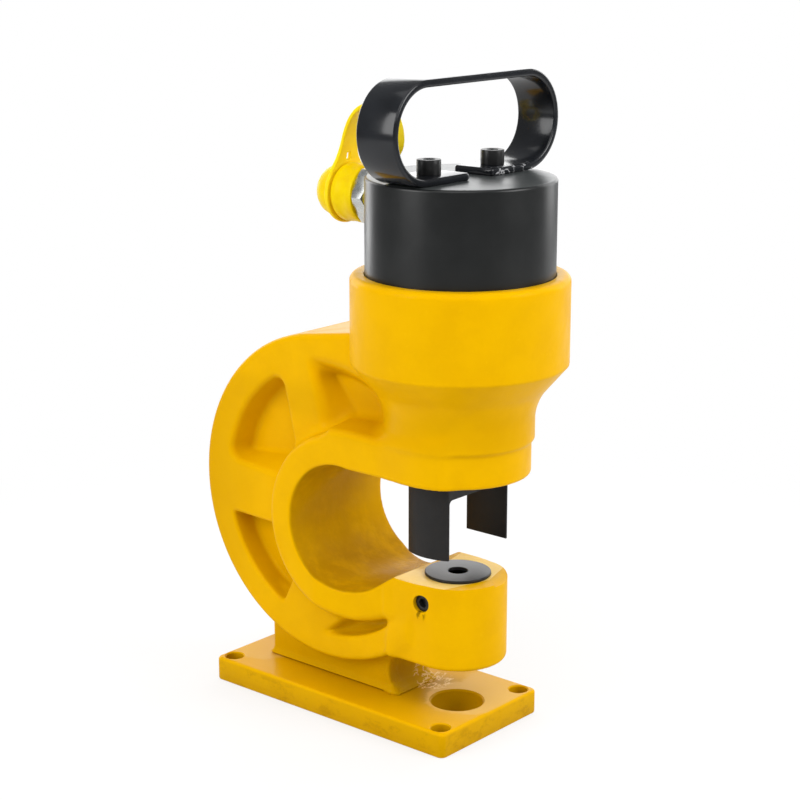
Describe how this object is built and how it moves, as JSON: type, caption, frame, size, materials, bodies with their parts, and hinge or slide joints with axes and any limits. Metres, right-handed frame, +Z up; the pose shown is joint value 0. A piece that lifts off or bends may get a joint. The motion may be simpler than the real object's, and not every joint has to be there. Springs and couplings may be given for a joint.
{
  "type": "hydraulic hole punch",
  "caption": "Hydraulic hole punch with a cast C frame on a bolted base plate, black ram cylinder, loop handle, stripper fork, die and capped hose coupler.",
  "frame": {"origin": "centre of the base plate's four mounting holes, on its underside", "axes": "+X from the back of the C frame towards the jaw's open end, +Z up along the punch axis, +Y to the left when looking along +X"},
  "size_m": [0.2336, 0.14, 0.3714],
  "materials": {
    "frame_paint": "gloss orange-yellow enamel over a casting",
    "cylinder_black": "satin black",
    "handle_black": "gloss black with chipped edges",
    "dark_steel": "phosphated, almost black",
    "tool_steel": "hardened and blackened",
    "bright_steel": "ground or zinc plated",
    "spring_steel": "drawn wire",
    "screw_black": "black oxide",
    "bronze": "turned bronze",
    "copper": "annealed copper",
    "seal": "matt nitrile rubber",
    "bearing_strip": "filled acetal",
    "cap_plastic": "glossy lemon-yellow soft vinyl"
  },
  "bodies": {
    "tool": {"c_frame": "frame_paint", "base_plate": "frame_paint", "base_screws": "dark_steel", "cylinder": "cylinder_black", "gland_bush": "bronze", "rod_wiper": "seal", "spring_anchor": "tool_steel", "return_spring": "spring_steel", "stripper": "dark_steel", "die": "tool_steel", "handle": "handle_black", "handle_screws": "screw_black", "coupler_body": "bright_steel", "port_washer": "copper", "coupler_guide": "bronze", "poppet_spring": "spring_steel", "cap_strap": "cap_plastic"},
    "ram_unit": {"ram": "bright_steel", "piston_seal": "seal", "piston_guide_ring": "bearing_strip", "punch": "tool_steel", "punch_retainer": "dark_steel"},
    "valve": {"coupler_poppet": "bright_steel"},
    "cap": {"dust_cap": "cap_plastic"},
    "die_clamp": {"die_set_screw": "screw_black"}
  },
  "joints": [
    {"name": "ram_stroke", "type": "slide", "parent": "tool", "child": "ram_unit", "axis": [0, 0, -1], "range_m": [0, 0.055], "stiffness_N_per_m": 3000, "springref_m": -0.03, "deforming": ["return_spring"]},
    {"name": "valve_push", "type": "slide", "parent": "tool", "child": "valve", "axis": [1, 0, 0], "range_m": [0, 0.004], "stiffness_N_per_m": 1200, "springref_m": -0.003, "deforming": ["poppet_spring"]},
    {"name": "cap_pull", "type": "slide", "parent": "tool", "child": "cap", "axis": [-1, 0, 0], "range_m": [0, 0.03], "deforming": ["cap_strap"]},
    {"name": "die_clamp_turn", "type": "hinge", "parent": "tool", "child": "die_clamp", "pos_m": [0.0608, -0.0226, 0.0805], "axis": [0, -1, 0], "range_deg": [0, 720]}
  ]
}
